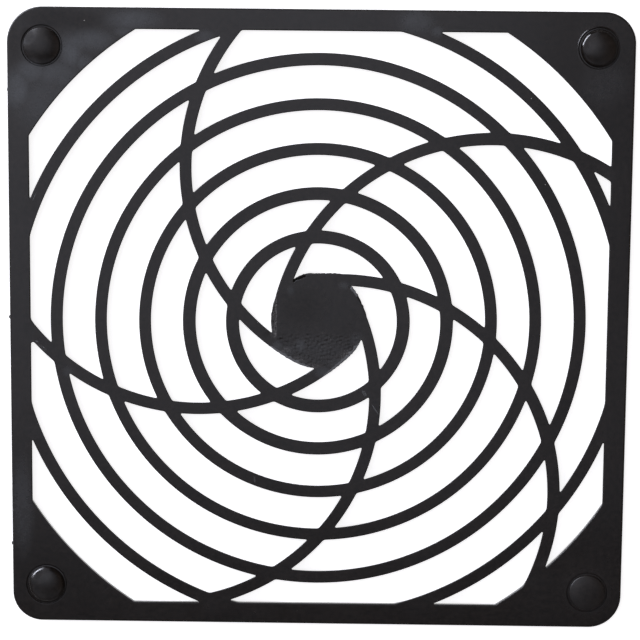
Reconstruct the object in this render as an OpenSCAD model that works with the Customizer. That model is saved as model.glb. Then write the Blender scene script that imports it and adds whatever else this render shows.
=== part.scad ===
// Square fan grille, moulded in one piece: a thin flat frame with four domed bosses,
// concentric ring ribs, and curved spokes that leave the rim of a flat hub.
// It lies on its back, face up. The origin is the middle of the frame's back face.

/* [Frame] */
// Outer side of the square frame
side = 119; // [116:0.5:124]
// Width of the straight bars at the face
bar_w = 4.1; // [3.5:0.1:5]
// Thickness of the frame
frame_t = 1.8; // [1.6:0.1:3]
// Land between a boss's axis and the corner arc of the opening
corner_land = 8.6; // [7:0.1:11]
// Width of the bevel along every front edge
edge = 0.22; // [0.1:0.02:0.3]
// Lean of the moulded walls in degrees, which makes bars and ribs narrower at the back
draft = 12; // [4:0.5:14]

/* [Bosses] */
// Distance from a boss's axis to the frame's two edges there, which is the corner radius too
boss_inset = 7; // [6:0.5:8]
// Radius of a dome
dome_r = 3.5; // [3:0.1:4]
// Height of a dome above the frame's face
dome_h = 1.1; // [0.9:0.1:2]
// Height of the straight rim under a dome's cap
dome_rim = 0.25; // [0.1:0.05:0.4]
// Width of the groove around a dome
groove_w = 0.4; // [0.25:0.05:0.6]
// Depth of the groove below the frame's face
groove_d = 0.2; // [0.1:0.05:0.4]
// Radius of the blind socket behind a dome
socket_r = 2.1; // [1.5:0.05:2.4]
// Depth of the blind socket from the back face
socket_depth = 2; // [1:0.1:2.2]

/* [Ribs] */
// Height of the ribs and the hub
rib_t = 1.4; // [1.1:0.1:1.5]
// Step down from the frame's face to the rings, then to the spokes, then to the hub
face_step = 0.03; // [0.02:0.01:0.05]
// Radius that fills the sharp corners between ribs
fillet_r = 0.3; // [0.2:0.05:0.4]
// Middle radius of the innermost ring
first_ring_r = 16.4; // [15:0.05:18]
// Middle radius of the second ring
second_ring_r = 24.7; // [23:0.05:26]
// Spacing of the rings from the second one outwards
ring_pitch = 8.5; // [8:0.1:9.5]
// Width of the two innermost rings
inner_ring_w = 2.5; // [1.8:0.05:2.8]
// Width of the other rings
ring_w = 2.32; // [1.8:0.01:2.8]

/* [Hub and spokes] */
// Radius of the hub
hub_r = 9; // [8:0.1:11]
// Number of spokes
spoke_count = 5; // [3:1:7]
// Width of a spoke
spoke_w = 2.3; // [1.8:0.05:2.8]
// Radius of a spoke's middle line
spoke_r = 41.6; // [39:0.1:45]
// Direction from the hub to the first spoke's arc centre, in degrees
spoke_turn = 61.4; // [0:0.1:72]

/* [Gate marks] */
// Radius of a gate nub on the left edge
nub_r = 0.45; // [0.3:0.05:0.6]
// How far a nub stands out of the edge
nub_out = 0.24; // [0.1:0.02:0.28]
// Height of a nub
nub_h = 1; // [0.6:0.1:1.4]
// Distance between neighbouring nubs
nub_pitch = 44; // [30:1:46]

/* [Hidden] */
$fn = 96;

// How far cutters run past a face
over = 1;
// How far joined pieces run into each other
lap = 0.4;
// Overlap that keeps a curve from only grazing the one that it joins
graze = 0.05;
// Sweeps between which a spoke's end is looked for, and the step, in degrees
search_from = 60;
search_to = 180;
search_step = 0.25;
// Halvings that narrow down where an edge leaves the opening
halvings = 24;

// Slopes of the bevels, in degrees. Rings, spokes and the hub each have their own level, bevel
// and lean, so that no two of their faces run along each other where they cross.
ring_bevel = 45;
spoke_bevel = 50;
hub_bevel = 54;
spoke_lean = draft + 1;
hub_lean = draft + 2;
fillet_lean = draft + 3;
ring_top = frame_t - face_step;
spoke_top = ring_top - face_step;
hub_top = spoke_top - face_step;
fillet_top = hub_top - edge / 2;
fillet_t = rib_t - edge;

boss_pitch = side - 2 * boss_inset;
opening_half = side / 2 - bar_w;
opening_r = boss_pitch / 2 * sqrt(2) - corner_land;
ring_count = 2 + floor((opening_r - ring_w - second_ring_r) / ring_pitch);
last_ring_r = ring_r(ring_count - 1);
spoke_in = spoke_r - spoke_w / 2;
spoke_out = spoke_r + spoke_w / 2;
spoke_centre = spoke_out - hub_r + graze;
// Sphere that gives the cap above a dome's rim
dome_cap = dome_h - dome_rim;
dome_sphere_r = (dome_r * dome_r + dome_cap * dome_cap) / (2 * dome_cap);

function ring_r(k) = k == 0 ? first_ring_r : second_ring_r + (k - 1) * ring_pitch;
function ring_width(k) = k < 2 ? inner_ring_w : ring_w;
function reaches_frame(k) = ring_r(k) + ring_width(k) / 2 > opening_half;

function turned(p, a) = [p.x * cos(a) - p.y * sin(a), p.x * sin(a) + p.y * cos(a)];
function in_opening(p, gap = 0) =
    max(abs(p.x), abs(p.y)) < opening_half - gap && norm(p) < opening_r - gap;
// Nearest point on the opening's edge to one just inside it
function on_opening(p) =
    norm(p) - opening_r > max(abs(p.x), abs(p.y)) - opening_half ? p * opening_r / norm(p)
    : abs(p.x) > abs(p.y) ? [sign(p.x) * opening_half, p.y]
    : [p.x, sign(p.y) * opening_half];

// A spoke's own frame has the hub at the origin and the arc's centre on +X.
// Its sweep is counted from the hub's rim, clockwise.
function spoke_angle(i) = spoke_turn - i * 360 / spoke_count;
function spoke_point(r, sweep) = [spoke_centre - r * cos(sweep), r * sin(sweep)];
function placed(i, p) = turned(p, spoke_angle(i));
function sweep_of(p) = atan2(p.y, spoke_centre - p.x);
function in_last_ring(p) = abs(norm(p) - last_ring_r) < ring_w / 2;
function covered(p) = !in_opening(p) || in_last_ring(p);
// A spoke ends as soon as its end is covered by the frame, or by the frame and the last ring
function spoke_ends(i, sweep) =
    let (
        inner = placed(i, spoke_point(spoke_in, sweep)),
        middle = placed(i, spoke_point(spoke_r, sweep)),
        outer = placed(i, spoke_point(spoke_out, sweep))
    )
    !(in_opening(middle) && in_opening(outer)) && covered(inner) && covered(middle) && covered(outer);
function spoke_sweep(i, sweep = search_from) =
    sweep >= search_to || spoke_ends(i, sweep) ? sweep + search_step
    : spoke_sweep(i, sweep + search_step);
// Sweep, up to high, at which a circle about the arc's centre comes within gap of the opening's edge
function leaves(i, r, gap, high, low = search_from, n = halvings) =
    let (mid = (low + high) / 2)
    n == 0 ? high
    : in_opening(placed(i, spoke_point(r, mid)), gap) ? leaves(i, r, gap, high, mid, n - 1)
    : leaves(i, r, gap, mid, low, n - 1);
// Where a circle about the hub meets one about the arc's centre, on the spoke's own side
function crossing(round_r, arc_r) =
    let (x = (spoke_centre ^ 2 + round_r ^ 2 - arc_r ^ 2) / (2 * spoke_centre))
    [x, sqrt(round_r ^ 2 - x ^ 2)];
function on_arc(p, r) =
    let (centre = [spoke_centre, 0])
    centre + (p - centre) * r / norm(p - centre);
// A point a little further on, inside the ribs that meet
function past(from, to) = to + (to - from) / norm(to - from) * lap;

// Repeats a shape at the four boss axes
module at_bosses() {
    for (x = [-1, 1], y = [-1, 1])
        translate([x * boss_pitch / 2, y * boss_pitch / 2, 0])
            children();
}

// A long bar along X, with the outline as its section in Y and Z
module bar_along_x(outline) {
    rotate([90, 0, 90])
        linear_extrude(height = side + 4 * over, center = true)
            polygon(outline);
}

// Square block whose four sides all have the same section
module square_block(outline) {
    intersection() {
        bar_along_x(outline);
        rotate([0, 0, 90]) bar_along_x(outline);
    }
}

// Rounds one corner of the frame: what lies outside the corner arc
module corner_cutter() {
    arc_r = boss_inset + graze;
    difference() {
        translate([0, 0, -lap])
            cube([boss_inset + over, boss_inset + over, frame_t + 2 * lap]);
        rotate_extrude()
            polygon([
                [0, -2 * lap], [arc_r, -2 * lap], [arc_r, frame_t - edge],
                [arc_r - edge - 2 * lap, frame_t + 2 * lap], [0, frame_t + 2 * lap]
            ]);
    }
}

// Opening of the frame: a square with its corners cut by a circle
module opening() {
    flare = edge + over;
    lean_out = (frame_t - edge + over) * tan(draft);
    bottom = opening_half + lean_out;
    top = opening_half + flare;
    intersection() {
        square_block([
            [-bottom, -over], [bottom, -over], [opening_half, frame_t - edge],
            [top, frame_t + over], [-top, frame_t + over], [-opening_half, frame_t - edge]
        ]);
        rotate_extrude()
            polygon([
                [0, -over], [opening_r + lean_out, -over], [opening_r, frame_t - edge],
                [opening_r + flare, frame_t + over], [0, frame_t + over]
            ]);
    }
}

// Round recess in the face, which leaves a groove around a dome
module recess() {
    translate([0, 0, frame_t - groove_d])
        cylinder(r = dome_r + groove_w, h = groove_d + over);
}

module frame() {
    half = side / 2;
    difference() {
        square_block([
            [-half, 0], [half, 0], [half, frame_t - edge],
            [half - edge, frame_t], [edge - half, frame_t], [-half, frame_t - edge]
        ]);
        for (a = [0, 90, 180, 270])
            rotate([0, 0, a])
                translate([boss_pitch / 2, boss_pitch / 2, 0])
                    corner_cutter();
        opening();
        at_bosses() recess();
    }
}

// Section of a rib: leaning sides and bevelled front edges
module rib_section(w, top, lean, bevel) {
    drop = edge * tan(bevel);
    back = w / 2 - (rib_t - drop) * tan(lean);
    polygon([
        [-back, top - rib_t], [back, top - rib_t], [w / 2, top - drop],
        [w / 2 - edge, top], [edge - w / 2, top], [-w / 2, top - drop]
    ]);
}

module ring(k) {
    rotate_extrude()
        translate([ring_r(k), 0])
            rib_section(ring_width(k), ring_top, draft, ring_bevel);
}

// A ring that reaches the frame is cut off inside the bars
module rings() {
    cut = 2 * (opening_half + lap);
    for (k = [0 : ring_count - 1])
        if (reaches_frame(k))
            intersection() {
                ring(k);
                translate([-cut / 2, -cut / 2, -over])
                    cube([cut, cut, frame_t + 2 * over]);
            }
        else
            ring(k);
}

module spoke(i) {
    translate([spoke_centre, 0, 0])
        rotate([0, 0, 180 - spoke_sweep(i)])
            rotate_extrude(angle = spoke_sweep(i))
                translate([spoke_r, 0])
                    rib_section(spoke_w, spoke_top, spoke_lean, spoke_bevel);
}

module hub() {
    drop = edge * tan(hub_bevel);
    back = hub_r - (rib_t - drop) * tan(hub_lean);
    rotate_extrude()
        polygon([
            [0, hub_top - rib_t], [back, hub_top - rib_t], [hub_r, hub_top - drop],
            [hub_r - edge, hub_top], [0, hub_top]
        ]);
}

// Fills a sharp corner, up to a round about middle that meets the sides at touch_a and touch_b
module fillet(middle, tip, touch_a, touch_b) {
    top_r = fillet_r + graze / 2;
    flare = tan(fillet_lean);
    difference() {
        translate([0, 0, fillet_top - fillet_t])
            linear_extrude(height = fillet_t)
                polygon([
                    past(middle, tip), past(middle, touch_a), middle, past(middle, touch_b)
                ]);
        translate([middle.x, middle.y, fillet_top - fillet_t - lap])
            cylinder(
                r1 = top_r + (fillet_t + lap) * flare, r2 = top_r - lap * flare,
                h = fillet_t + 2 * lap
            );
    }
}

// Corner between a circle about the hub and an edge of spoke i, with the gap on the sides
// that round_side and arc_side give: 1 outside the circle, -1 inside it
module spoke_fillet(i, round_r, round_side, arc_r, arc_side) {
    middle = crossing(round_r + round_side * fillet_r, arc_r + arc_side * fillet_r);
    if (sweep_of(middle) < spoke_sweep(i) && in_opening(placed(i, middle), fillet_r))
        fillet(middle, crossing(round_r, arc_r), middle * round_r / norm(middle), on_arc(middle, arc_r));
}

// Corner between an edge of spoke i and the frame, where that edge comes out of the frame
module frame_fillet(i, arc_r, arc_side) {
    r = arc_r + arc_side * fillet_r;
    end = spoke_sweep(i);
    middle = spoke_point(r, leaves(i, r, fillet_r, end));
    if (!in_opening(placed(i, spoke_point(r, end)), fillet_r))
        fillet(
            middle, spoke_point(arc_r, leaves(i, arc_r, 0, end)), on_arc(middle, arc_r),
            turned(on_opening(placed(i, middle)), -spoke_angle(i))
        );
}

module spoke_with_fillets(i) {
    spoke(i);
    spoke_fillet(i, hub_r, 1, spoke_in, -1);
    for (k = [0 : ring_count - 1]) {
        spoke_fillet(i, ring_r(k) + ring_width(k) / 2, 1, spoke_in, -1);
        spoke_fillet(i, ring_r(k) - ring_width(k) / 2, -1, spoke_out, 1);
    }
    frame_fillet(i, spoke_in, -1);
    frame_fillet(i, spoke_out, 1);
}

// Corners between the bars and the outer edge of a ring that reaches them
module bar_fillets() {
    for (k = [0 : ring_count - 1])
        if (reaches_frame(k)) {
            rim = ring_r(k) + ring_width(k) / 2;
            x = opening_half - fillet_r;
            middle = [x, sqrt((rim + fillet_r) ^ 2 - x ^ 2)];
            for (a = [0, 90, 180, 270], flip = [0, 1])
                rotate([0, 0, a])
                    mirror([0, flip, 0])
                        fillet(
                            middle, [opening_half, sqrt(rim ^ 2 - opening_half ^ 2)],
                            middle * rim / norm(middle), [opening_half, middle.y]
                        );
        }
}

// Low round cap on a short straight rim
module dome() {
    foot = groove_d + lap;
    intersection() {
        translate([0, 0, frame_t + dome_h - dome_sphere_r]) sphere(dome_sphere_r);
        translate([0, 0, frame_t - foot]) cylinder(r = dome_r, h = foot + dome_h + lap);
    }
}

module gate_nubs() {
    for (k = [-1, 0, 1])
        translate([nub_r - nub_out - side / 2, k * nub_pitch, (frame_t - nub_h) / 2])
            cylinder(r = nub_r, h = nub_h);
}

module sockets() {
    at_bosses()
        translate([0, 0, -over])
            cylinder(r = socket_r, h = socket_depth + over);
}

module grille() {
    color([0.11, 0.11, 0.12])
        difference() {
            union() {
                frame();
                rings();
                hub();
                for (i = [0 : spoke_count - 1])
                    rotate([0, 0, spoke_angle(i)])
                        spoke_with_fillets(i);
                bar_fillets();
                at_bosses() dome();
                gate_nubs();
            }
            sockets();
        }
}

grille();
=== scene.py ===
import math
import bpy
import numpy as np
from mathutils import Matrix, Vector, geometry


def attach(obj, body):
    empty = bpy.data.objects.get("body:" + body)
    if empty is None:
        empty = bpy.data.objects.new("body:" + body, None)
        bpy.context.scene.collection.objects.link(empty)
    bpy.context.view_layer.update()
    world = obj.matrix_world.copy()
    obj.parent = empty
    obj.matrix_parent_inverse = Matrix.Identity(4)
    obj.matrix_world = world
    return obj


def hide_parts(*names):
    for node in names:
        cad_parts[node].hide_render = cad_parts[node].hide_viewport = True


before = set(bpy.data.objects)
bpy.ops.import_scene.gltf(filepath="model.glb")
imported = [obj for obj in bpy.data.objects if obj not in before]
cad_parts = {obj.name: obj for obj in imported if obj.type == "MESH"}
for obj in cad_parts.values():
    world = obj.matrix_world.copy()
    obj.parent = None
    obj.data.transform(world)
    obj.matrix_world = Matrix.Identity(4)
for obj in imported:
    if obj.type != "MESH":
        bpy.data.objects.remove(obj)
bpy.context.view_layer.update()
mm = 0.001
tiny = 1e-9  # shorter than this counts as no length at all
weld = 1e-7  # mm, points of a face closer than this are one
sharpAngle = 32  # deg, folds sharper than this stay crisp


# small tools

def linearColour(hexCode):
    # sRGB hex to linear, opaque
    parts = [int(hexCode[i:i + 2], 16) / 255 for i in (1, 3, 5)]
    return [c / 12.92 if c <= 0.04045 else ((c + 0.055) / 1.055) ** 2.4 for c in parts] + [1.0]


def addNode(tree, kind, links=(), **settings):
    # settings: plain names are node properties, inputs={socket: value} are constants
    node = tree.nodes.new(kind)
    for socket, value in settings.pop("inputs", {}).items():
        node.inputs[socket].default_value = value
    for name, value in settings.items():
        setattr(node, name, value)
    for source, socket in links:
        tree.links.new(source, node.inputs[socket])
    return node


def emptyMaterial(name):
    material = bpy.data.materials.new(name)
    material.use_nodes = True
    material.node_tree.nodes.clear()
    return material, material.node_tree


def smoothStep(t):
    t = np.clip(t, 0, 1)
    return t * t * (3 - 2 * t)


def fullTurn(count):
    # even directions all the way round
    return np.arange(count) * 2 * math.pi / count


class MouldedSkin:
    # collects points and faces, mm
    def __init__(self):
        self.points, self.faces = [], []
        self.count = 0

    def add(self, points):
        points = np.asarray(points, float)
        self.points.append(points)
        first = self.count
        self.count += len(points)
        return np.arange(first, self.count)

    def addRings(self, centre, circle, rows):
        # rows are radius and height
        return [self.add(np.c_[centre + circle * radius, np.full(len(circle), height)])
                for radius, height in rows]

    def strips(self, rows):
        # closed bands between each row of points and the next
        for upper, lower in zip(rows, rows[1:]):
            upper, lower = list(upper), list(lower)
            for a, b, c, d in zip(upper, lower, lower[1:] + lower[:1], upper[1:] + upper[:1]):
                self.faces.append((int(a), int(b), int(c), int(d)))

    def fan(self, ring, tip):
        ring = list(ring)
        for a, b in zip(ring, ring[1:] + ring[:1]):
            self.faces.append((int(a), int(tip), int(b)))

    def lid(self, row):
        self.faces.append(tuple(int(k) for k in row))

    def fill(self, loops, loose, facing):
        # flat face between closed loops of point numbers, plastic on the left of each; loose ones lie inside
        every = np.concatenate(self.points)
        numbers = np.concatenate(list(loops) + [loose]).astype(int)
        flat = [Vector(p) for p in every[numbers][:, :2]]
        edges, first = [], 0
        for loop in loops:
            n = len(loop)
            edges += [(first + k, first + (k + 1) % n) for k in range(n)]
            first += n
        places, _, made, sources = geometry.delaunay_2d_cdt(flat, edges, [], 0, weld)[:4]
        triangles = []
        for tri in made:
            a, b, c = [places[k] for k in tri]
            tri = [sources[k][0] for k in tri]
            triangles.append(tri if (b - a).cross(c - a) > 0 else tri[::-1])
        sides = {}
        for k, tri in enumerate(triangles):
            for a, b in zip(tri, tri[1:] + tri[:1]):
                sides[(a, b)] = k
        # triangles beside a loop are in the plastic or not, and the others take after their neighbours
        walls = set(edges)
        inPlastic = {sides[e]: True for e in edges if e in sides}
        inPlastic.update({sides[(b, a)]: False for a, b in edges if (b, a) in sides})
        todo = list(inPlastic)
        while todo:
            k = todo.pop()
            tri = triangles[k]
            for a, b in zip(tri, tri[1:] + tri[:1]):
                other = sides.get((b, a))
                if other is None or other in inPlastic or (a, b) in walls or (b, a) in walls:
                    continue
                inPlastic[other] = inPlastic[k]
                todo.append(other)
        for k, tri in enumerate(triangles):
            if inPlastic.get(k):
                a, b, c = [int(numbers[t]) for t in tri]
                self.faces.append((a, b, c) if facing > 0 else (a, c, b))


def pieceFromSkin(name, skin, material):
    mesh = bpy.data.meshes.new(name)
    mesh.from_pydata([tuple(v) for v in np.concatenate(skin.points) * mm], [], skin.faces)
    mesh.validate()
    mesh.polygons.foreach_set("use_smooth", [True] * len(mesh.polygons))
    mesh.set_sharp_from_angle(angle=math.radians(sharpAngle))
    mesh.materials.append(material)
    piece = bpy.data.objects.new(name, mesh)
    bpy.context.scene.collection.objects.link(piece)
    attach(piece, "root")
    print(name, "made, points", skin.count, "faces", len(skin.faces))
    return piece


# black ABS, injection moulded in a lightly blasted tool: a dark grey satin skin with a soft sheen,
# clouded by flow and handling, paler where a film of dust lies and duller where it was rubbed

absFinish = {
    "skin": "#050302",  # pigment at its darkest
    "cloud": "#1d1815",  # and at its greyest, in flow clouds and a fine mottle
    "dust": "#525558",  # pale film left by handling
    "white": "#817f7e",  # plastic torn or stressed until it turns pale, and a painted highlight where the flash beside the right notch catches light
    "ior": 1.53,
    # size in mm, octaves, how rough the small octaves are, distortion
    "noise": {
        "cloud": (14.0, 3.0, 0.5, 0.0),  # flow clouds
        "mottle": (0.9, 4.0, 0.7, 0.0),  # of the pigment
        "smear": (4.0, 5.0, 0.62, 0.8),  # from handling
        "fleck": (0.28, 4.0, 0.65, 0.0),  # torn spots, also breaking up the painted highlight beside the right notch
        "grain": (0.45, 2.0, 0.6, 0.0),  # the blasted tool's grain is about 0.1, drawn coarser to show
    },
    "mottleWeight": 3.2,  # against the clouds
    "grainDepth": 0.006,  # mm
    # a noise, the part of its range that counts, and what that becomes
    "ranges": {
        "film": ("smear", 0.3, 0.7, 0.7, 1.25),  # dust lies unevenly
        "specks": ("fleck", 0.3, 0.7, 0.65, 1.35),  # and speckled
        "tornAndLit": ("fleck", 0.45, 0.68, 0.06, 0.9),  # whiteness of torn plastic and of the painted highlight beside the right notch
        "rough": ("smear", 0.25, 0.75, 0.22, 0.28),  # roughness of the clean skin
    },
    "moreRough": {"dust": 0.12, "dull": 0.30, "gloss": -0.13, "tornAndLit": 0.25},  # added at strength 1
    "patchFade": (0.2, 1.3),  # shares of a patch's half size between which it fades away
    # soft patches on the face, mm: x, y, half width, half height, strength
    "dustPatches": [
        (-57.6, 44.0, 2.6, 4.2, 0.62), (-55.0, 47.2, 3.6, 2.4, 0.55), (-47.6, 51.0, 2.6, 3.4, 0.6),
        (-50.4, 46.8, 5.0, 3.0, 0.45), (-52.0, 41.5, 7.0, 6.5, 0.3), (-43.5, 53.2, 4.5, 2.2, 0.5),
        (-46.4, 52.6, 3.0, 1.8, 0.5), (-35.5, 57.2, 5.5, 2.2, 0.5), (17.7, 57.3, 3.6, 2.6, 0.45),
        (53.6, 46.0, 5.0, 4.5, 0.12), (-57.3, -37.0, 2.4, 10.0, 0.3), (0.0, -5.8, 8.0, 3.6, 0.17),
        (4.8, 7.1, 1.2, 0.8, 0.3), (-5.4, 6.0, 0.8, 1.1, 0.22), (-3.4, -4.6, 1.2, 1.6, 0.42),
        (-48.2, -10.2, 1.2, 1.2, 0.2), (-22.2, 54.2, 2.0, 1.3, 0.35), (21.8, 55.5, 1.4, 1.1, 0.35),
        (-37.4, 55.0, 2.2, 1.2, 0.35), (-45.0, 49.0, 1.8, 1.8, 0.45), (7.4, -3.6, 1.6, 1.6, 0.22),
        (3.4, -7.9, 2.4, 1.3, 0.32), (-5.6, -5.6, 2.0, 1.4, 0.25), (1.0, -9.7, 1.8, 1.3, 0.35),
        (-7.9, -4.7, 1.2, 1.0, 0.4)],
    "dullPatches": [
        (-51.0, 57.3, 7.0, 2.6, 0.9), (-45.3, 57.0, 4.6, 2.2, 0.8), (-58.4, 53.0, 2.0, 5.5, 0.6),
        (-3.5, 2.8, 5.0, 4.2, 0.35), (56.5, 54.5, 3.0, 4.5, 0.4), (52.8, -52.5, 4.0, 4.0, 1.8),
        (-53.4, 52.6, 3.6, 3.6, 0.6), (-55.4, 53.9, 2.0, 2.0, 1.6), (53.2, 52.0, 3.2, 3.2, 0.45),
        (-52.1, -53.0, 3.0, 3.0, 0.45)],
    "glossPatches": [
        (49.6, 53.2, 0.9, 0.9, 1.0), (49.8, 54.4, 0.9, 0.9, 1.0), (50.9, 55.5, 0.9, 0.9, 1.0),
        (-54.2, -49.9, 0.9, 0.8, 1.0)],
    # pale flecks of torn plastic; the two at x 6.5 and 7.2 are a painted highlight on the flash beside the
    # right notch, where it catches light
    "fleckAndHighlightPatches": [
        (-6.3, -5.7, 1.1, 0.8, 0.6), (-3.9, -7.5, 1.8, 0.8, 0.7), (-0.9, -8.5, 1.6, 0.6, 0.7),
        (6.5, 6.6, 0.6, 0.7, 0.9), (7.2, 5.8, 0.5, 0.8, 0.8), (5.6, -6.5, 1.9, 1.2, 0.7),
        (2.2, -3.3, 0.4, 0.3, 0.5), (1.0, -2.2, 0.35, 0.3, 0.4), (-55.1, -4.5, 0.4, 0.4, 0.5),
        (-54.3, -4.75, 0.5, 0.4, 0.6), (-53.6, -5.35, 0.5, 0.4, 0.5), (-52.8, -6.0, 0.5, 0.4, 0.4)],
    # hand-trimmed strip on the hub's left: what is measured, where it starts and is full, mm, least share
    "trimLimits": [("x", -7.97, -8.09, 0.0), ("x", -8.75, -8.25, 0.4), ("y", -3.6, -2.4, 0.0),
                   ("y", 5.9, 4.7, 0.0), ("far", 9.9, 9.7, 0.0)],
}


def addPatches(tree, place, patches):
    # the strongest of some soft ellipses
    near, far = absFinish["patchFade"]
    total = None
    for x, y, halfWide, halfHigh, strength in patches:
        off = addNode(tree, "ShaderNodeVectorMath", [(place, 0)], operation="SUBTRACT",
                      inputs={1: (x * mm, y * mm, 0)})
        off = addNode(tree, "ShaderNodeVectorMath", [(off.outputs[0], 0)], operation="MULTIPLY",
                      inputs={1: (1 / (halfWide * mm), 1 / (halfHigh * mm), 0)})
        away = addNode(tree, "ShaderNodeVectorMath", [(off.outputs[0], 0)], operation="LENGTH")
        fade = addNode(tree, "ShaderNodeMapRange", [(away.outputs["Value"], "Value")],
                       interpolation_type="SMOOTHSTEP",
                       inputs={"From Min": near, "From Max": far, "To Min": strength, "To Max": 0.0})
        fade = fade.outputs["Result"]
        total = fade if total is None else addNode(tree, "ShaderNodeMath", [(total, 0), (fade, 1)],
                                                   operation="MAXIMUM").outputs[0]
    return total


def mouldedAbs():
    f = absFinish
    material, tree = emptyMaterial("black ABS moulded satin")
    place = addNode(tree, "ShaderNodeTexCoord").outputs["Object"]
    noise, ranged = {}, {}
    for name, (size, octaves, rough, distortion) in f["noise"].items():
        noise[name] = addNode(tree, "ShaderNodeTexNoise", [(place, "Vector")],
                              inputs={"Scale": 1 / (size * mm), "Detail": octaves, "Roughness": rough,
                                      "Distortion": distortion}).outputs["Fac"]
    for name, (source, low, high, atLow, atHigh) in f["ranges"].items():
        ranged[name] = addNode(tree, "ShaderNodeMapRange", [(noise[source], "Value")],
                               inputs={"From Min": low, "From Max": high, "To Min": atLow,
                                       "To Max": atHigh}).outputs["Result"]
    film = addNode(tree, "ShaderNodeMath", [(ranged["film"], 0), (ranged["specks"], 1)], operation="MULTIPLY")
    dust = addPatches(tree, place, f["dustPatches"])
    dust = addNode(tree, "ShaderNodeMath", [(dust, 0), (film.outputs[0], 1)], operation="MULTIPLY").outputs[0]
    dull = addPatches(tree, place, f["dullPatches"])
    gloss = addPatches(tree, place, f["glossPatches"])
    # torn plastic: the trimmed strip on the hub and ragged bits of its rim; beside the right notch, a painted
    # highlight where the flash catches light
    axes = addNode(tree, "ShaderNodeSeparateXYZ", [(place, "Vector")])
    far = addNode(tree, "ShaderNodeVectorMath", [(place, 0)], operation="LENGTH")
    measured = {"x": axes.outputs["X"], "y": axes.outputs["Y"], "far": far.outputs["Value"]}
    tornAndLit = None
    for what, start, full, least in f["trimLimits"]:
        limit = addNode(tree, "ShaderNodeMapRange", [(measured[what], "Value")],
                        interpolation_type="SMOOTHSTEP",
                        inputs={"From Min": start * mm, "From Max": full * mm, "To Min": least})
        limit = limit.outputs["Result"]
        tornAndLit = limit if tornAndLit is None else addNode(tree, "ShaderNodeMath", [(tornAndLit, 0), (limit, 1)],
                                                  operation="MULTIPLY").outputs[0]
    flecksAndHighlight = addPatches(tree, place, f["fleckAndHighlightPatches"])
    tornAndLit = addNode(tree, "ShaderNodeMath", [(tornAndLit, 0), (flecksAndHighlight, 1)], operation="MAXIMUM").outputs[0]
    pale = addNode(tree, "ShaderNodeMath", [(tornAndLit, 0), (ranged["tornAndLit"], 1)], operation="MULTIPLY").outputs[0]
    # pigment, then dust, then torn white with the painted highlight beside the right notch
    shade = addNode(tree, "ShaderNodeMath", [(noise["mottle"], 0), (noise["cloud"], 2)],
                    operation="MULTIPLY_ADD", inputs={1: f["mottleWeight"]})
    shade = addNode(tree, "ShaderNodeMath", [(shade.outputs[0], 0)], operation="SUBTRACT", use_clamp=True,
                    inputs={1: f["mottleWeight"] / 2})
    colour = addNode(tree, "ShaderNodeMix", [(shade.outputs[0], 0)], data_type="RGBA",
                     inputs={6: linearColour(f["skin"]), 7: linearColour(f["cloud"])})
    for mask, tint in ((dust, "dust"), (pale, "white")):
        colour = addNode(tree, "ShaderNodeMix", [(mask, 0), (colour.outputs[2], 6)], data_type="RGBA",
                         inputs={7: linearColour(f[tint])})
    rough = ranged["rough"]
    for mask, name in ((dust, "dust"), (dull, "dull"), (gloss, "gloss"), (tornAndLit, "tornAndLit")):
        rough = addNode(tree, "ShaderNodeMath", [(mask, 0), (rough, 2)], operation="MULTIPLY_ADD",
                        inputs={1: f["moreRough"][name]}).outputs[0]
    bump = addNode(tree, "ShaderNodeBump", [(noise["grain"], "Height")],
                   inputs={"Strength": 1.0, "Distance": f["grainDepth"] * mm})
    shader = addNode(tree, "ShaderNodeBsdfPrincipled",
                     [(colour.outputs[2], "Base Color"), (rough, "Roughness"),
                      (bump.outputs["Normal"], "Normal")], inputs={"IOR": f["ior"]})
    addNode(tree, "ShaderNodeOutputMaterial", [(shader.outputs["BSDF"], "Surface")])
    return material


blackAbs = mouldedAbs()
print("moulded ABS made")


# the moulding: one outline for frame, rings, spokes and hub, all sizes in mm

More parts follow.
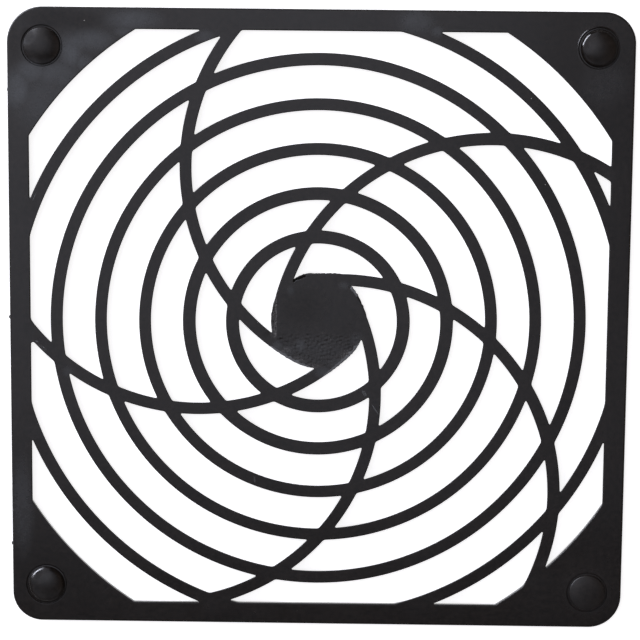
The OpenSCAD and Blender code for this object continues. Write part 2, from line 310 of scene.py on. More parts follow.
grille = {
    "left": -59.41, "right": 59.5, "bottom": -59.5, "top": 59.5,
    "cornerRadii": (6.8, 6.0, 5.7, 6.3),  # top left, top right, bottom left, bottom right
    "leftTwist": 0.004,  # the left side stands a little askew
    "openingHalf": 55.4,
    "openingRadii": (65.58, 65.65, 65.84, 65.56),  # arcs that cut the opening's corners, in the same order
    "openingSlant": 0.0035,  # of its bottom side
    "askewFrom": 25.0, "askewOver": 25.0,  # twist and slant grow from here outwards, over this much
    "ringRadii": (16.39, 24.7, 33.2, 41.68, 50.19, 58.69),
    "ringWidths": (2.54, 2.49, 2.32, 2.30, 2.36, 2.34),
    "hubRadius": 9.0,
    "spokeCount": 5,
    "spokeWidth": 2.29, "spokeFlare": 0.12,  # wider towards the frame
    "flareFrom": 36.0, "flareOver": 16.0,
    "spokeRadius": 41.63,
    "spokeCentre": 33.725,  # from the hub to the middle of a spoke's arc
    "spokeTurn": 61.4,  # deg, direction of the first arc's middle
    "spokeSweeps": (101.25, 113.0, 124.5, 101.75, 96.5),  # deg, where each arc ends in the frame
    "ringShift": -0.12,  # rings, spokes and hub sit this far off the frame's middle
    "ringStretch": (1.0013, 0.9989),  # and are a trace wider than high
    "notch": 0.27, "leastNotch": 1e-6,  # round in the notches between ribs
    "notchBend": 0.06,  # 1 - cosine of the angle between two outlines at which half of that round is left
    "lap": 0.5,  # ribs reach this far into the frame
    "fills": [(-55.3, -4.2, 0.45)],  # plastic left in a notch, mm: x, y, radius
    "faceHeight": 1.8,
    "ribDrop": 0.05, "dropRamp": 1.2,  # the ribs' faces lie this much behind the frame's, after a ramp
    "ribBack": 0.34, "backRamp": 1.0,  # and their backs stand off by this much
    "sinkSize": 10.0, "sinkDepth": 0.02, "sinkSeed": 3,  # slow waviness of the moulded face
    "rimEdge": 0.36, "frameEdge": 0.2, "ribEdge": 0.12,  # rounds along the face
    "edgeSteps": 5, "edgeRamp": 0.8,  # rounds and leans change over this much at the opening's edge
    "rimBand": 0.5,  # outlines this close to the outer edge are the rim
    "lean": 12.0, "frameLean": 7.0,  # deg, the walls narrow towards the back
    "backEdge": 0.08, "backRound": (0.6, 0.2),
    "faceBorder": 0.07, "backBorder": 0.08,  # flat strips beside the rounds
    "gridStep": 0.1, "gridMargin": 1.1,
    "outlineSteps": 4, "leastSlope": 0.2,  # steps that bring a point onto the exact outline
    "smoothing": 4,  # passes that even out kinks where two outlines run together
    "chordError": 0.004, "longestStep": 1.4, "shortestStep": 0.03, "fewestPoints": 6,
    "innerStep": 1.6, "innerDepth": 1.0,  # loose points inside the faces
}


def roundDist(x, y, cx, cy, radius):
    far = np.maximum(np.hypot(x - cx, y - cy), tiny)
    return far - radius, (x - cx) / far, (y - cy) / far


def bandDist(x, y, cx, cy, radius, width):
    d, gx, gy = roundDist(x, y, cx, cy, radius)
    side = np.where(d < 0, -1.0, 1.0)
    return np.abs(d) - width / 2, gx * side, gy * side


def cutTo(shape, cutter):
    return [np.where(shape[0] > cutter[0], a, b) for a, b in zip(shape, cutter)]


def boxDist(x, y, left, right, bottom, top, radius=0.0):
    x, y = x - (left + right) / 2, y - (bottom + top) / 2
    qx, qy = np.abs(x) - (right - left) / 2 + radius, np.abs(y) - (top - bottom) / 2 + radius
    mx, my = np.maximum(qx, 0), np.maximum(qy, 0)
    out = np.hypot(mx, my)
    d = out + np.minimum(np.maximum(qx, qy), 0) - radius
    corner = out > tiny
    safe = np.where(corner, out, 1.0)
    gx = np.where(corner, mx / safe, np.where(qx > qy, 1.0, 0.0)) * np.sign(x)
    gy = np.where(corner, my / safe, np.where(qx > qy, 0.0, 1.0)) * np.sign(y)
    return d, gx, gy


def joinRounded(one, two):
    # rounds the notch where two outlines meet at an angle, and leaves them alone where they run together
    g = grille
    d1, x1, y1 = one
    d2, x2, y2 = two
    bend = np.clip(1 - (x1 * x2 + y1 * y2), 0, 2)
    r = np.maximum(g["notch"] * bend / (bend + g["notchBend"]), g["leastNotch"])
    w1, w2 = np.maximum(r - d1, 0), np.maximum(r - d2, 0)
    near = np.hypot(w1, w2)
    d = np.maximum(r, np.minimum(d1, d2)) - near
    mixed = near > tiny
    safe = np.where(mixed, near, 1.0)
    first = d1 < d2
    gx = np.where(mixed, (w1 * x1 + w2 * x2) / safe, np.where(first, x1, x2))
    gy = np.where(mixed, (w1 * y1 + w2 * y2) / safe, np.where(first, y1, y2))
    return d, gx, gy


def askew(outward):
    return smoothStep((outward - grille["askewFrom"]) / grille["askewOver"])


def untwist(x, y):
    return x + grille["leftTwist"] * y * askew(-x)


def cornerValue(x, y, values):
    # top left, top right, bottom left, bottom right
    topLeft, topRight, bottomLeft, bottomRight = values
    return np.where(y > 0, np.where(x < 0, topLeft, topRight), np.where(x < 0, bottomLeft, bottomRight))


def rimDist(x, y):
    g = grille
    x = untwist(x, y)
    return boxDist(x, y, g["left"], g["right"], g["bottom"], g["top"], cornerValue(x, y, g["cornerRadii"]))


def openingDist(x, y):
    g = grille
    half = g["openingHalf"]
    x, y = untwist(x, y), y - g["openingSlant"] * x * askew(-y)
    arc = cornerValue(x, y, g["openingRadii"])
    return cutTo(boxDist(x, y, -half, half, -half, half), roundDist(x, y, 0, 0, arc))


def outlineDist(x, y):
    # distance to the moulding's outline as seen from the front, below 0 in the plastic
    g = grille
    hole = openingDist(x, y)
    solid = cutTo(rimDist(x, y), [-v for v in hole])
    within = (hole[0] - g["lap"], hole[1], hole[2])
    for fx, fy, radius in g["fills"]:
        solid = joinRounded(solid, roundDist(x, y, fx, fy, radius))
    x, y = (x - g["ringShift"]) / g["ringStretch"][0], y / g["ringStretch"][1]
    for radius, width in zip(g["ringRadii"], g["ringWidths"]):
        solid = joinRounded(solid, cutTo(bandDist(x, y, 0, 0, radius, width), within))
    wide = g["spokeWidth"] + g["spokeFlare"] * smoothStep((np.hypot(x, y) - g["flareFrom"]) / g["flareOver"])
    for i in range(g["spokeCount"]):
        turn = math.radians(g["spokeTurn"] - i * 360 / g["spokeCount"])
        sweep = math.radians(g["spokeSweeps"][i])
        c, s, ec, es = math.cos(turn), math.sin(turn), math.cos(sweep), math.sin(sweep)
        spoke = bandDist(x, y, g["spokeCentre"] * c, g["spokeCentre"] * s, g["spokeRadius"], wide)
        start = (x * s - y * c, np.full_like(x, s), np.full_like(x, -c))  # only the arc's outgoing half
        nx, ny = es * c - ec * s, es * s + ec * c
        end = (x * nx + y * ny - g["spokeCentre"] * es, np.full_like(x, nx), np.full_like(x, ny))
        solid = joinRounded(solid, cutTo(cutTo(cutTo(spoke, start), end), within))
    return joinRounded(solid, roundDist(x, y, 0, 0, g["hubRadius"]))


# marching squares: which cell edges a cell's outline runs between, plastic on the left
cellSteps = {1: [(0, 3)], 2: [(1, 0)], 3: [(1, 3)], 4: [(2, 1)], 5: [(0, 3), (2, 1)], 6: [(2, 0)],
             7: [(2, 3)], 8: [(3, 2)], 9: [(0, 2)], 10: [(1, 0), (3, 2)], 11: [(1, 2)], 12: [(3, 1)],
             13: [(0, 1)], 14: [(3, 0)]}


def traceLoops():
    g = grille
    half, step = g["right"] + g["gridMargin"], g["gridStep"]
    axis = np.arange(-half, half + step / 2, step)
    field = outlineDist(*np.meshgrid(axis, axis))[0]
    field[np.abs(field) < tiny] = tiny
    solid = (field < 0).astype(int)
    case = solid[:-1, :-1] + 2 * solid[:-1, 1:] + 4 * solid[1:, 1:] + 8 * solid[1:, :-1]
    following = {}
    for j, i in zip(*np.nonzero((case > 0) & (case < 15))):
        edges = ((0, j, i), (1, j, i + 1), (0, j + 1, i), (1, j, i))
        for a, b in cellSteps[case[j, i]]:
            following[edges[a]] = edges[b]
    loops = []
    while following:
        edge, loop = next(iter(following)), []
        while edge in following:
            loop.append(edge)
            edge = following.pop(edge)
        upright, j, i = np.array(loop).T
        f1 = field[j, i]
        f2 = field[j + upright, i + 1 - upright]
        t = f1 / (f1 - f2) * step
        points = np.c_[axis[i] + t * (1 - upright), axis[j] + t * upright]
        for _ in range(g["outlineSteps"]):
            d, sx, sy = outlineDist(points[:, 0], points[:, 1])
            slope = np.maximum(sx * sx + sy * sy, g["leastSlope"])
            points = points - np.c_[sx, sy] * (d / slope)[:, None]
        for _ in range(g["smoothing"]):
            points = 0.5 * points + 0.25 * (np.roll(points, 1, 0) + np.roll(points, -1, 0))
        loops.append(points)
    return loops


def thinLoop(points):
    # keeps only the points that the curve needs
    g = grille
    n = len(points)
    kept, i = [0], 0
    ring = np.vstack([points, points[:1]])
    while i < n:
        j = min(i + 1, n)
        while j < n:
            chord = ring[j + 1] - ring[i]
            length = np.hypot(*chord)
            between = ring[i + 1:j + 1] - ring[i]
            off = np.abs(between[:, 0] * chord[1] - between[:, 1] * chord[0]) / max(length, tiny)
            if length > g["longestStep"] or off.max() > g["chordError"]:
                break
            j += 1
        if j < n:
            kept.append(j)
        i = j
    kept = points[kept]
    return kept[np.hypot(*(np.roll(kept, -1, 0) - kept).T) > g["shortestStep"]]


hub = {
    "scarTop": -1.4, "scarFade": 1.8,  # mm, the gate scar roughens the hub below this height
    "scarReach": 8.9, "scarRim": 0.5,  # out to here, fading over this much
    "scarSize": 0.3, "scarDepth": 0.013, "scarSeed": 7,
    "trimAt": -7.95,  # the edge left of this was trimmed by hand
    "trimReach": 9.6, "trimFade": 0.2,
    "trimMiddle": 1.2, "trimHalf": 4.6, "trimEnds": 1.2,  # height, half length and fade of the trimmed strip
    "trimSize": 0.3, "trimDepth": 0.03, "trimSeed": 11,
    "step": 0.14, "half": 9.5, "reach": 9.2, "inset": 0.42,  # closer points where the hub is rough
    "leastRough": 0.02,  # share of roughness that needs them
}


def smoothLumps(x, y, size, seed, count=40):
    # waves in all directions, 0.7 to 1.7 times the size
    pick = np.random.default_rng(seed)
    total = np.zeros_like(x)
    for turn, shift, stretch in zip(pick.uniform(0, 2 * math.pi, count), pick.uniform(0, 2 * math.pi, count),
                                    pick.uniform(0.7, 1.7, count)):
        total += np.cos(math.pi / (size * stretch) * (x * math.cos(turn) + y * math.sin(turn)) + shift)
    return total / math.sqrt(count)


def scarShare(x, y):
    h = hub
    below = smoothStep((h["scarTop"] - y) / h["scarFade"])
    return below * smoothStep((h["scarReach"] - np.hypot(x, y)) / h["scarRim"])


def trimShare(x, y):
    h = hub
    across = smoothStep((h["trimAt"] - x) / h["trimFade"])
    across = across * smoothStep((h["trimReach"] - np.hypot(x, y)) / h["trimFade"])
    return across * smoothStep((h["trimHalf"] - np.abs(y - h["trimMiddle"])) / h["trimEnds"])


def roughHub(x, y):
    return np.maximum(scarShare(x, y), trimShare(x, y))


def faceSinks(x, y):
    return grille["sinkDepth"] * smoothLumps(x, y, grille["sinkSize"], grille["sinkSeed"])


def faceRelief(x, y):
    h = hub
    scar = h["scarDepth"] * scarShare(x, y) * smoothLumps(x, y, h["scarSize"], h["scarSeed"])
    trim = h["trimDepth"] * trimShare(x, y) * (smoothLumps(x, y, h["trimSize"], h["trimSeed"]) - 1)
    return faceSinks(x, y) + scar + trim


def ribShare(x, y, ramp):
    # 0 on the frame, 1 on the ribs this far inside the opening
    return smoothStep(-openingDist(x, y)[0] / ramp)


def faceHeight(x, y):
    return grille["faceHeight"] - grille["ribDrop"] * ribShare(x, y, grille["dropRamp"])


def backHeight(x, y):
    return grille["ribBack"] * ribShare(x, y, grille["backRamp"])


boss = {
    # top left, top right, bottom left, bottom right, mm
    "centres": ((-53.0, 52.15), (52.55, 52.65), (-52.63, -52.27), (52.85, -52.55)),
    "room": 5.0,  # no loose points of the face closer than this
    "domeRadius": 3.5,
    "domeHeights": (1.1, 1.1, 1.1, 0.95),
    "domeBalls": (7.63, 7.63, 7.63, 9.1),  # the caps' spheres
    "shoulders": (0.35, 1.6, 2.0, 0.35),  # rounds between cap and rim
    "shoulderEnds": (90, 55, 50, 90),  # deg, slope at the rim
    "burrs": (0.0, 0.09, 0.0, 0.0),  # lip raised outside the groove
    "burrTurn": 125, "burrSpread": 0.3,  # deg, it is highest in this direction; more spread, longer lip
    "grooveWidth": 0.4, "grooveDepth": 0.2,
    # off the groove's edge, above the face, share of the burr
    "lipRows": [(0.35, 0, 0), (0.26, 0, 0), (0.22, 0, 0.35), (0.165, 0, 0.8), (0.1, 0, 1),
                (0.05, -0.01, 0.75), (0.01, -0.05, 0)],
    "outerFloor": [(-0.03, 0.05), (-0.11, 0)],  # off the groove's edge, above its floor
    "innerFloor": [(0.11, 0), (0.05, 0.02)],  # off the dome's wall, above the floor
    "wallFoot": (0.01, 0.08, 0.005),  # off the wall, above the floor at most, under the shoulder at least
    "rimSteps": 10, "domeRows": 18, "around": 112,
    "socketRadius": 2.1, "socketDepth": 2.0,  # blind hole behind the dome
    "socketMouth": [(0.18, 0), (0.12, 0), (0.04, 0.03), (0, 0.12)],  # off its wall, above the back
    "socketFloor": [(0, 0.2), (-0.06, 0.06), (-0.2, 0), (-0.3, 0)],  # off its wall, under its floor
    "socketInner": 0.5,  # share of its radius
}


def bossProfile(high, ball, r, end, burr):
    # radius, height above the face and height of the burr, from outside the groove to the top of the dome
    b = boss
    wall, floor = b["domeRadius"], -b["grooveDepth"]
    lip, end = wall + b["grooveWidth"], math.radians(end)
    rise = high - ball
    steep = math.asin((wall - r * math.sin(end)) / (ball - r))
    seat = rise + (ball - r) * math.cos(steep)
    rows = [(lip + off, up, share * burr) for off, up, share in b["lipRows"]]
    rows += [(lip + off, floor + up, 0) for off, up in b["outerFloor"]]
    rows += [(wall + off, floor + up, 0) for off, up in b["innerFloor"]]
    off, up, under = b["wallFoot"]
    rows.append((wall + off, min(floor + up, seat + r * math.cos(end) - under), 0))
    for k in range(b["rimSteps"]):
        t = end + (steep - end) * k / b["rimSteps"]
        rows.append(((ball - r) * math.sin(steep) + r * math.sin(t), seat + r * math.cos(t), 0))
    for k in range(b["domeRows"]):
        t = steep * (1 - k / b["domeRows"])
        rows.append((ball * math.sin(t), rise + ball * math.cos(t), 0))
    return rows


def outlineRows(points):
    # depth in the plastic and height of each row of points, from the face over the wall to the back
    g = grille
    top, back = faceHeight(*points.T) + faceRelief(*points.T), backHeight(*points.T)
    onRib = ribShare(*points.T, g["edgeRamp"])
    onRim = rimDist(*points.T)[0] > -g["rimBand"]
    r = np.where(onRim, g["rimEdge"], g["frameEdge"] + (g["ribEdge"] - g["frameEdge"]) * onRib)
    lean = np.where(onRim, g["lean"], g["frameLean"] + (g["lean"] - g["frameLean"]) * onRib)
    rows = [(r + g["faceBorder"], top)]
    for k in range(g["edgeSteps"] + 1):
        t = math.pi / 2 * k / g["edgeSteps"]
        rows.append((r - r * math.sin(t), top - r + r * math.cos(t)))
    edge, (inShare, upShare) = g["backEdge"], g["backRound"]
    wall = (top - r - back - edge) * np.tan(np.radians(lean))
    return rows + [(wall, back + edge), (wall + edge * inShare, back + edge * upShare), (wall + edge, back),
                   (wall + edge + g["backBorder"], back)]


def looseGrid(low, high, step):
    # every other row is shifted by half a step
    axis = np.arange(low, high, step)
    x, y = [v.ravel() for v in np.meshgrid(axis, axis)]
    return x + (np.round(y / step) % 2) * step / 2, y


def addLoose(skin):
    # loose points inside the wide faces keep the triangles compact
    g, h = grille, hub
    x, y = looseGrid(g["bottom"], g["top"], g["innerStep"])
    deep = outlineDist(x, y)[0] < -g["innerDepth"]
    for cx, cy in boss["centres"]:
        deep &= np.hypot(x - cx, y - cy) > boss["room"]
    x, y = x[deep], y[deep]
    back = skin.add(np.c_[x, y, backHeight(x, y)])
    hx, hy = looseGrid(-h["half"], h["half"], h["step"])
    close = (outlineDist(hx, hy)[0] < -h["inset"]) & (np.hypot(hx, hy) < h["reach"])
    close &= roughHub(hx, hy) > h["leastRough"]
    wide = roughHub(x, y) <= h["leastRough"]
    x, y = np.r_[x[wide], hx[close]], np.r_[y[wide], hy[close]]
    return skin.add(np.c_[x, y, faceHeight(x, y) + faceRelief(x, y)]), back


def buildMoulding():
    g, b = grille, boss
    skin = MouldedSkin()
    loops = [thinLoop(points) for points in traceLoops()]
    loops = [points for points in loops if len(points) >= g["fewestPoints"]]
    print("outline loops", len(loops), "points", sum(map(len, loops)))
    frontRows, backRows = [], []
    for points in loops:
        ahead = np.roll(points, -1, 0) - points
        ahead = ahead / np.hypot(*ahead.T)[:, None]
        inward = ahead + np.roll(ahead, 1, 0)  # along the outline, then a quarter turn into the plastic
        inward = np.c_[-inward[:, 1], inward[:, 0]] / np.hypot(*inward.T)[:, None]
        rows = [skin.add(np.c_[points + inward * depth[:, None], height])
                for depth, height in outlineRows(points)]
        skin.strips(rows)
        frontRows.append(rows[0])
        backRows.append(rows[-1])
    frontLoose, backLoose = addLoose(skin)
    around = -fullTurn(b["around"])  # clockwise, so the face is on the left
    circle = np.c_[np.cos(around), np.sin(around)]
    burrSide = smoothStep(b["burrSpread"] + np.cos(around - math.radians(b["burrTurn"])))
    sr, sd = b["socketRadius"], b["socketDepth"]
    socket = [(sr + off, up) for off, up in b["socketMouth"]]
    socket += [(sr + off, sd - down) for off, down in b["socketFloor"]]
    socket.append((sr * b["socketInner"], sd))
    for centre, *shape in zip(np.array(b["centres"]), b["domeHeights"], b["domeBalls"], b["shoulders"],
                              b["shoulderEnds"], b["burrs"]):
        rows = [skin.add(np.c_[centre + circle * radius, g["faceHeight"] + height + burr * burrSide])
                for radius, height, burr in bossProfile(*shape)]
        frontRows.append(rows[0])
        skin.strips(rows)
        skin.fan(rows[-1], skin.add([[*centre, g["faceHeight"] + shape[0]]])[0])
        rows = skin.addRings(centre, circle, socket)
        backRows.append(rows[0])
        skin.strips(rows[::-1])
        skin.fan(rows[-1][::-1], skin.add([[*centre, sd]])[0])
    skin.fill(frontRows, frontLoose, facing=1)
    skin.fill(backRows, backLoose, facing=-1)
    return skin


moulding = pieceFromSkin("mouldedGrille", buildMoulding(), blackAbs)
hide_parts("grille")


# thin flash that the mould pressed out around the hub: ragged films, the lowest well below the face

flash = {
    "outer": [  # mm, each film's outer edge
        [(-6.3, 7.5), (-5.4, 8.0), (-4.47, 8.43), (-3.6, 8.93), (-2.7, 9.24), (-1.84, 9.39), (-0.9, 9.38)],
        [(-2.7, 9.24), (-1.84, 9.39), (-0.6, 9.38), (0.5, 9.41), (1.6, 9.45), (2.7, 9.43), (3.74, 9.40),
         (5.5, 9.16), (7.5, 8.72), (9.5, 8.16), (11.0, 7.5)],
        [(5.6, 7.3), (6.39, 6.84), (6.9, 6.2), (7.35, 5.6), (7.75, 4.95), (8.07, 4.25), (8.6, 3.1),
         (9.06, 1.94), (9.3, 0.9), (9.3, -0.2)],
        [(-7.6, 5.6), (-8.25, 4.6), (-8.7, 3.5), (-8.95, 2.4), (-9.13, 1.2), (-9.1, 0.3), (-9.14, -0.5),
         (-9.0, -1.4), (-8.75, -2.3), (-8.2, -3.2)],
    ],
    # heights of each film: underside, top under the hub, top at its edge
    "levels": [(0.95, 1.28, 1.50), (1.05, 1.68, 1.75), (0.95, 1.66, 1.80), (0.95, 1.30, 1.45)],
    "step": 0.07,
    "ragged": 0.045, "nickSize": 0.35, "nickSeed": 5, "nickEnds": 0.3,
    "endThick": 0.5, "thinEnds": 0.14,  # share of the thickness left at a film's ends, and how fast it goes
    # off the edge, shares of the top under the hub, of the edge and of the underside, drop
    "rows": [(-0.9, 1, 0, 0, 0), (-0.4, 0.6, 0.4, 0, 0), (-0.12, 0, 1, 0, 0), (-0.03, 0, 1, 0, 0.03),
             (0.0, 0, 0.6, 0.4, 0), (-0.03, 0, 0.3, 0.7, 0), (-0.12, 0, 0, 1, 0), (-0.9, 0, 0, 1, 0)],
}


def smoothLine(points, step):
    # even points on a rounded line through the given ones
    points = np.array(points, float)
    padded = np.vstack([2 * points[0] - points[1], points, 2 * points[-1] - points[-2]])
    line = []
    for a, b, c, d in zip(padded, padded[1:], padded[2:], padded[3:]):
        count = max(2, int(np.hypot(*(c - b)) / step))
        for t in np.arange(count) / count:
            line.append(0.5 * (2 * b + (c - a) * t + (2 * a - 5 * b + 4 * c - d) * t * t
                               + (3 * b - a - 3 * c + d) * t ** 3))
    return np.array(line + [points[-1]])


def buildFilms(films):
    f = flash
    skin = MouldedSkin()
    for line, (low, high, rim) in films:
        outward = line / np.hypot(*line.T)[:, None]
        middle = np.sin(np.linspace(0, 1, len(line)) * math.pi)  # 0 at a film's ends, 1 halfway
        nick = smoothLumps(line[:, 0], line[:, 1], f["nickSize"], f["nickSeed"]) * middle ** f["nickEnds"]
        line = line + outward * (f["ragged"] * nick)[:, None]
        lift = faceSinks(*line.T)
        thick = f["endThick"] + (1 - f["endThick"]) * middle ** f["thinEnds"]
        edge = low + (rim + lift - low) * thick
        high = high + lift
        rows = [skin.add(np.c_[line + outward * off, inner * high + outer * edge + under * low - drop])
                for off, inner, outer, under, drop in f["rows"]]
        for upper, lower in zip(rows, rows[1:] + rows[:1]):
            for a, b, c, d in zip(upper, lower, lower[1:], upper[1:]):
                skin.lid((a, d, c, b))
        skin.lid([row[0] for row in rows])
        skin.lid([row[-1] for row in rows[::-1]])
    return skin


films = [(smoothLine(line, flash["step"]), level) for line, level in zip(flash["outer"], flash["levels"])]
pieceFromSkin("hubFlash", buildFilms(films), blackAbs)


# gate nubs along the left side, where the runners were cut off

nubs = {
    "heights": (43.8, 0.25, -44.2),  # mm along the side
    "radius": 0.45,
    "out": 0.24, "limit": -59.73,
    "low": 0.4, "high": 1.4, "edge": 0.1,
    "edgeRows": [(1, 0), (0.3, 0.3), (0, 1)],  # shares of the edge: in from the wall, from the end
    "around": 40,
}


def buildNubs():
    n = nubs
    skin = MouldedSkin()
    around = fullTurn(n["around"])
    circle = np.c_[np.cos(around), np.sin(around)]
    rows = [(n["radius"] - into * n["edge"], n["high"] - down * n["edge"]) for into, down in n["edgeRows"]]
    rows += [(n["radius"] - into * n["edge"], n["low"] + up * n["edge"]) for into, up in n["edgeRows"][::-1]]
    for y in n["heights"]:
        side = grille["left"] - grille["leftTwist"] * y
        centre = np.array((max(side - n["out"], n["limit"]) + n["radius"], y))
        made = skin.addRings(centre, circle, rows)
        skin.strips(made)
        skin.lid(made[0])
        skin.lid(made[-1][::-1])
    return skin


pieceFromSkin("edgeNubs", buildNubs(), blackAbs)


# wear on the face: scratches with a raised pale burr, and grains of grit stuck to the plastic

wear = {
    # mm: x, y, length, width, deg, height
    "scratches": [(-12.16, -30.9, 1.4, 0.07, 92, 0.010), (-12.0, -31.0, 1.2, 0.05, 93, 0.010),
                  (8.82, -13.9, 1.3, 0.08, -57, 0.010), (9.0, -13.8, 1.5, 0.11, -56, 0.010),
                  (9.2, -13.7, 1.2, 0.08, -58, 0.010), (11.1, -16.85, 2.5, 0.16, -56, 0.014),
                  (-54.5, 23.5, 1.7, 0.12, 66, 0.050),
                  (-54.26, -4.39, 0.7, 0.20, -41, 0.020), (-52.91, -5.57, 0.5, 0.18, -41, 0.020)],
    "grit": [(-44.84, 56.94, 0.26, 0.20, 20, 0.05), (39.91, 43.12, 0.24, 0.17, 60, 0.05),
             (42.92, 26.86, 0.22, 0.16, 110, 0.05)],
    "rows": 5, "around": 28,
    "sunk": 0.012,  # the foot of a mound lies this far under the face
    "grainDepth": 0.004,
}


def wornFinish(name, pale, dark, roughness, grainSize):
    material, tree = emptyMaterial(name)
    place = addNode(tree, "ShaderNodeTexCoord").outputs["Object"]
    grain = addNode(tree, "ShaderNodeTexNoise", [(place, "Vector")],
                    inputs={"Scale": 1 / (grainSize * mm), "Detail": 4.0, "Roughness": 0.6})
    colour = addNode(tree, "ShaderNodeMix", [(grain.outputs["Fac"], 0)], data_type="RGBA",
                     inputs={6: linearColour(dark), 7: linearColour(pale)})
    bump = addNode(tree, "ShaderNodeBump", [(grain.outputs["Fac"], "Height")],
                   inputs={"Distance": wear["grainDepth"] * mm})
    shader = addNode(tree, "ShaderNodeBsdfPrincipled",
                     [(colour.outputs[2], "Base Color"), (bump.outputs["Normal"], "Normal")],
                     inputs={"Roughness": roughness, "IOR": absFinish["ior"]})
    addNode(tree, "ShaderNodeOutputMaterial", [(shader.outputs["BSDF"], "Surface")])
    return material


def buildMounds(marks):
    w = wear
    skin = MouldedSkin()
    around = fullTurn(w["around"])
    for x, y, length, width, turn, height in marks:
        c, s = math.cos(math.radians(turn)), math.sin(math.radians(turn))
        made = []
        for k in range(w["rows"]):
            t = math.pi / 2 * k / w["rows"]
            u, v = np.cos(around) * length / 2 * math.cos(t), np.sin(around) * width / 2 * math.cos(t)
            px, py = x + u * c - v * s, y + u * s + v * c
            face = faceHeight(px, py) + faceRelief(px, py)
            made.append(skin.add(np.c_[px, py, face + height * math.sin(t) - w["sunk"] * (k == 0)]))
        skin.strips(made[::-1])
        middle = np.array([x]), np.array([y])
        top = (faceHeight(*middle) + faceRelief(*middle))[0] + height
        skin.fan(made[-1][::-1], skin.add([[x, y, top]])[0])
        skin.lid(made[0][::-1])
    return skin


# ABS ploughed up by something hard: matt and grey, without the skin's sheen; on the hub's lips the same pale
# grey is also a painted highlight where their edges catch light
scuffAndHighlightAbs = wornFinish("black ABS scuffed matt, painted highlight on lips", "#7b7d7e", "#3c3e40", roughness=0.6, grainSize=0.3)
pieceFromSkin("scratchBurrs", buildMounds(wear["scratches"]), scuffAndHighlightAbs)


# pale lips where the hub's own edge is bruised up, their paleness also a painted highlight where the edge
# catches light, and one on the film beside the right notch, pale as a painted highlight of the light that
# film catches

lips = {
    "spans": [(206, 261), (274, 334)],  # deg
    "search": (7.0, 12.0), "halvings": 30,  # mm from the hub's middle, where its edge is looked for
    "level": (1.50, 1.73, 1.80),  # heights as for the films
    "notchLine": [(6.3, 6.9), (6.86, 6.2), (7.3, 5.62), (7.6, 5.1)],
    "notchLevel": (1.50, 1.68, 1.84),
}


def hubEdge(first, last):
    # the outline's points seen from the hub's middle between two directions
    turn = np.radians(np.arange(first, last, math.degrees(flash["step"] / grille["hubRadius"])))
    near, far = [np.full(len(turn), reach) for reach in lips["search"]]
    for _ in range(lips["halvings"]):
        middle = (near + far) / 2
        inside = outlineDist(middle * np.cos(turn), middle * np.sin(turn))[0] < 0
        near, far = np.where(inside, middle, near), np.where(inside, far, middle)
    return np.c_[near * np.cos(turn), near * np.sin(turn)]


films = [(hubEdge(*span), lips["level"]) for span in lips["spans"]]
films.append((smoothLine(lips["notchLine"], flash["step"]), lips["notchLevel"]))
# pale matt grey: bruised plastic, and a painted highlight along these lit edges
pieceFromSkin("hubLips", buildFilms(films), scuffAndHighlightAbs)

# mineral grit: pale and dry
mineralGrit = wornFinish("mineral grit dry", "#b5b2ac", "#8c8a86", roughness=0.8, grainSize=0.1)
pieceFromSkin("gritGrains", buildMounds(wear["grit"]), mineralGrit)


# floor, light and camera, in metres

studio = {
    "floorColour": "#f2f2f2",
    "floorGlow": 0.8,  # white backdrop for the camera; the rest of its brightness is lit, so shadows stay
    "floorSize": 12.0, "floorDrop": 0.0001,  # just under the part's back
    "world": 0.065,
    "worldTint": "#ffe6da",
    "panelTint": "#eef1ff",  # daylight, a little cool
    "wallTint": "#ffe2d2",  # the room's warm side
    "panels": {
        "skylight": {"at": (-1.25, 1.085, 1.02), "size": (2.7, 2.63), "radiance": 0.58},
        "overhead": {"at": (-0.13, 0.205, 1.0), "size": (0.52, 0.34), "radiance": 0.47},
        "rightPanel": {"at": (0.21, 0.165, 0.98), "size": (0.42, 0.87), "radiance": 0.24},
        "lowPanel": {"at": (0.07, -0.178, 0.94), "size": (0.46, 0.17), "radiance": 0.19},
        "lowLeftPanel": {"at": (-0.115, -0.215, 0.93), "size": (0.12, 0.08), "radiance": 0.14},
        "leftPanel": {"at": (-0.39, -0.115, 1.04), "size": (0.42, 0.33), "radiance": 0.37},
        "leftWall": {"at": (-1.6, -1.225, 1.06), "size": (2.0, 1.95), "radiance": 0.25},
        "rightWall": {"at": (1.3, -0.2, 1.05), "size": (1.5, 2.4), "radiance": 0.15, "tint": "wallTint"},
        "frontWall": {"at": (0.2, -1.25, 0.9), "size": (2.2, 1.2), "radiance": 0.24},
        "window": {"at": (-1.0, 0.8, 0.45), "size": (1.1, 0.25), "radiance": 22.0, "aimed": True},
    },
}


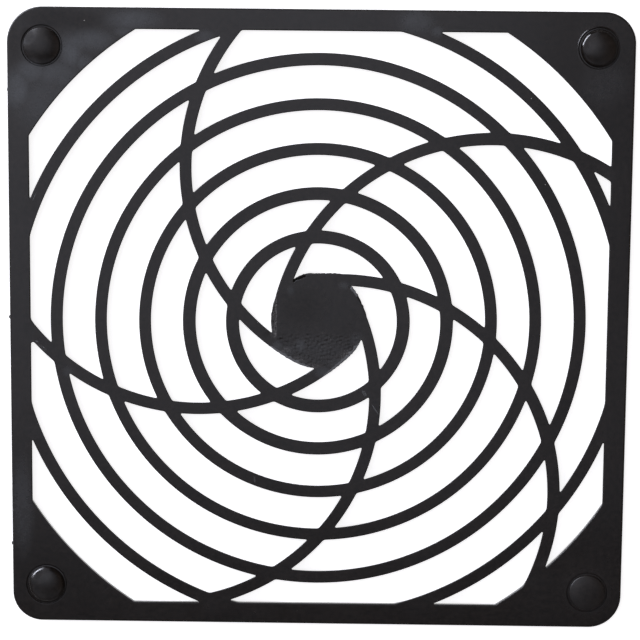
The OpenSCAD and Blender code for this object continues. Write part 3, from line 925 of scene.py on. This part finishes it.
def plainFloor():
    material, tree = emptyMaterial("matt white studio floor")
    path = addNode(tree, "ShaderNodeLightPath")
    seen = path.outputs["Is Camera Ray"]
    for ray in ("Is Glossy Ray", "Is Transmission Ray"):
        seen = addNode(tree, "ShaderNodeMath", [(seen, 0), (path.outputs[ray], 1)],
                       operation="MAXIMUM").outputs[0]
    glow = addNode(tree, "ShaderNodeMath", [(seen, 0)], operation="MULTIPLY", inputs={1: studio["floorGlow"]})
    matt = addNode(tree, "ShaderNodeBsdfDiffuse", inputs={"Color": linearColour(studio["floorColour"])})
    light = addNode(tree, "ShaderNodeEmission", [(glow.outputs[0], "Strength")],
                    inputs={"Color": (1, 1, 1, 1)})
    both = addNode(tree, "ShaderNodeAddShader", [(matt.outputs[0], 0), (light.outputs[0], 1)])
    addNode(tree, "ShaderNodeOutputMaterial", [(both.outputs[0], "Surface")])
    half = studio["floorSize"] / 2
    mesh = bpy.data.meshes.new("studioFloor")
    mesh.from_pydata([(-half, -half, 0), (half, -half, 0), (half, half, 0), (-half, half, 0)], [],
                     [(0, 1, 2, 3)])
    mesh.materials.append(material)
    floor = bpy.data.objects.new("studioFloor", mesh)
    floor.location.z = -studio["floorDrop"]
    bpy.context.scene.collection.objects.link(floor)


def softbox(name, panel):
    lamp = bpy.data.lights.new(name, "AREA")
    lamp.shape = "RECTANGLE"
    lamp.size, lamp.size_y = panel["size"]
    lamp.energy = panel["radiance"] * math.pi * lamp.size * lamp.size_y
    lamp.color = linearColour(studio[panel.get("tint", "panelTint")])[:3]
    light = bpy.data.objects.new(name, lamp)
    light.location = panel["at"]
    if panel.get("aimed"):  # the others face straight down
        light.rotation_euler = (-Vector(panel["at"])).to_track_quat("-Z", "Y").to_euler()
    bpy.context.scene.collection.objects.link(light)


plainFloor()
for name, panel in studio["panels"].items():
    softbox(name, panel)
world = bpy.data.worlds.new("studioRoom")
bpy.context.scene.world = world
world.use_nodes = True
background = world.node_tree.nodes["Background"]
background.inputs["Color"].default_value = linearColour(studio["worldTint"])
background.inputs["Strength"].default_value = studio["world"]

viewpoint = {
    "at": (4.75, 48.95, 398.44),  # mm
    "aim": (0.297, 0.392, 1.8),
    "roll": 0.59,  # deg
    "lens": 117.0, "sensor": 36.0,
}


def setCamera():
    v = viewpoint
    data = bpy.data.cameras.new("camera")
    data.lens, data.sensor_width = v["lens"], v["sensor"]
    camera = bpy.data.objects.new("camera", data)
    bpy.context.scene.collection.objects.link(camera)
    at, aim = Vector(v["at"]) * mm, Vector(v["aim"]) * mm
    ahead = (aim - at).normalized()
    right = ahead.cross(Vector((0, 1, 0))).normalized()
    up = right.cross(ahead)
    c, s = math.cos(math.radians(v["roll"])), math.sin(math.radians(v["roll"]))
    right, up = right * c + up * s, up * c - right * s
    turn = Matrix((right, up, -ahead)).transposed().to_4x4()
    camera.matrix_world = Matrix.Translation(at) @ turn
    bpy.context.scene.camera = camera


setCamera()
bpy.context.scene.view_settings.view_transform = "Standard"
print("studio set")

bpy.context.view_layer.update()
